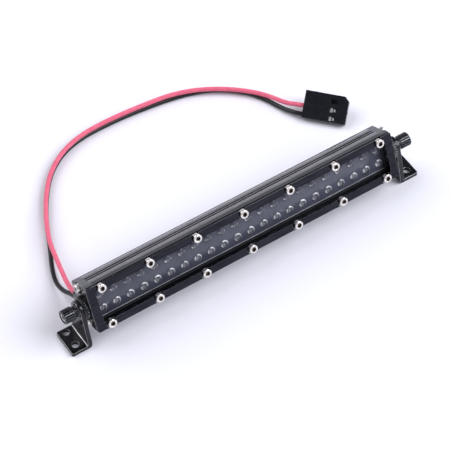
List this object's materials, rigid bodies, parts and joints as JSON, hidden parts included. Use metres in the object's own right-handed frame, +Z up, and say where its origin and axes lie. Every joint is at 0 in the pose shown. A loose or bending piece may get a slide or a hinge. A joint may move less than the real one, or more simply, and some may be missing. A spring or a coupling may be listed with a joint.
{
  "type": "led light bar",
  "caption": "Miniature finned LED light bar on two tilting foot brackets with knurled thumb screws, and a short two-wire lead with a plug.",
  "frame": {"origin": "on the surface under the middle of the lamp and brackets", "axes": "+X along the bar, the lens faces -Y and leans back, +Z up"},
  "size_m": [0.1156, 0.0677, 0.0201],
  "materials": {
    "housing_black": "satin black anodised",
    "bezel_black": "satin black anodised",
    "bracket_black": "satin black anodised",
    "knob_black": "satin black anodised",
    "screw_steel": "bright nickel-plated",
    "lens_clear": "smoky clear moulded",
    "gasket_silicone": "translucent",
    "board_black": "solder mask",
    "led_white": "phosphor over white",
    "resistor_black": "matt",
    "pad_grey": "soft",
    "insert_brass": "machined",
    "grommet_rubber": "moulded",
    "red_insulation": "silicone",
    "black_insulation": "silicone",
    "plug_black": "moulded",
    "contact_tin": "tin plated"
  },
  "bodies": {
    "lamp": {"housing_extrusion": "housing_black", "left_end_cap": "housing_black", "right_end_cap": "housing_black", "front_bezel": "bezel_black", "lens": "lens_clear", "lens_gasket": "gasket_silicone", "circuit_board": "board_black", "led_chips": "led_white", "resistors": "resistor_black", "thermal_pad": "pad_grey", "bezel_screws_top": "screw_steel", "bezel_screws_bottom": "screw_steel", "left_cap_screws": "screw_steel", "right_cap_screws": "screw_steel", "left_pivot_insert": "insert_brass", "right_pivot_insert": "insert_brass", "left_spacer_ring": "knob_black", "right_spacer_ring": "knob_black", "wire_grommet": "grommet_rubber", "solder_tails": "contact_tin", "red_wire": "red_insulation", "black_wire": "black_insulation", "plug_housing": "plug_black", "plug_contacts": "contact_tin"},
    "left_bracket": {"left_bracket": "bracket_black"},
    "right_bracket": {"right_bracket": "bracket_black"},
    "left_washer": {"left_washer": "screw_steel"},
    "right_washer": {"right_washer": "screw_steel"},
    "left_knob": {"left_knob": "knob_black", "left_pivot_screw": "screw_steel"},
    "right_knob": {"right_knob": "knob_black", "right_pivot_screw": "screw_steel"}
  },
  "joints": [
    {"name": "left_bracket_tilt", "type": "hinge", "parent": "lamp", "child": "left_bracket", "pos_m": [-0.0515, 0.0001, 0.0116], "axis": [1, 0, 0], "range_deg": [-113.7, 66.3]},
    {"name": "left_washer_slide", "type": "slide", "parent": "lamp", "child": "left_washer", "axis": [-1, 0, 0], "range_m": [0, 0.0004]},
    {"name": "left_knob_turn", "type": "hinge", "parent": "left_washer", "child": "left_knob", "pos_m": [-0.0515, 0.0001, 0.0116], "axis": [-1, 0, 0], "range_deg": [0, 361]},
    {"name": "right_bracket_tilt", "type": "hinge", "parent": "lamp", "child": "right_bracket", "pos_m": [0.0515, 0.0001, 0.0116], "axis": [1, 0, 0], "range_deg": [-113.7, 66.3]},
    {"name": "right_washer_slide", "type": "slide", "parent": "lamp", "child": "right_washer", "axis": [1, 0, 0], "range_m": [0, 0.0004]},
    {"name": "right_knob_turn", "type": "hinge", "parent": "right_washer", "child": "right_knob", "pos_m": [0.0515, 0.0001, 0.0116], "axis": [1, 0, 0], "range_deg": [0, 361]}
  ],
  "couplings": [
    {"joint": "left_knob_turn", "follows": "left_washer_slide", "rad_per_m": 15708},
    {"joint": "right_knob_turn", "follows": "right_washer_slide", "rad_per_m": 15708}
  ]
}
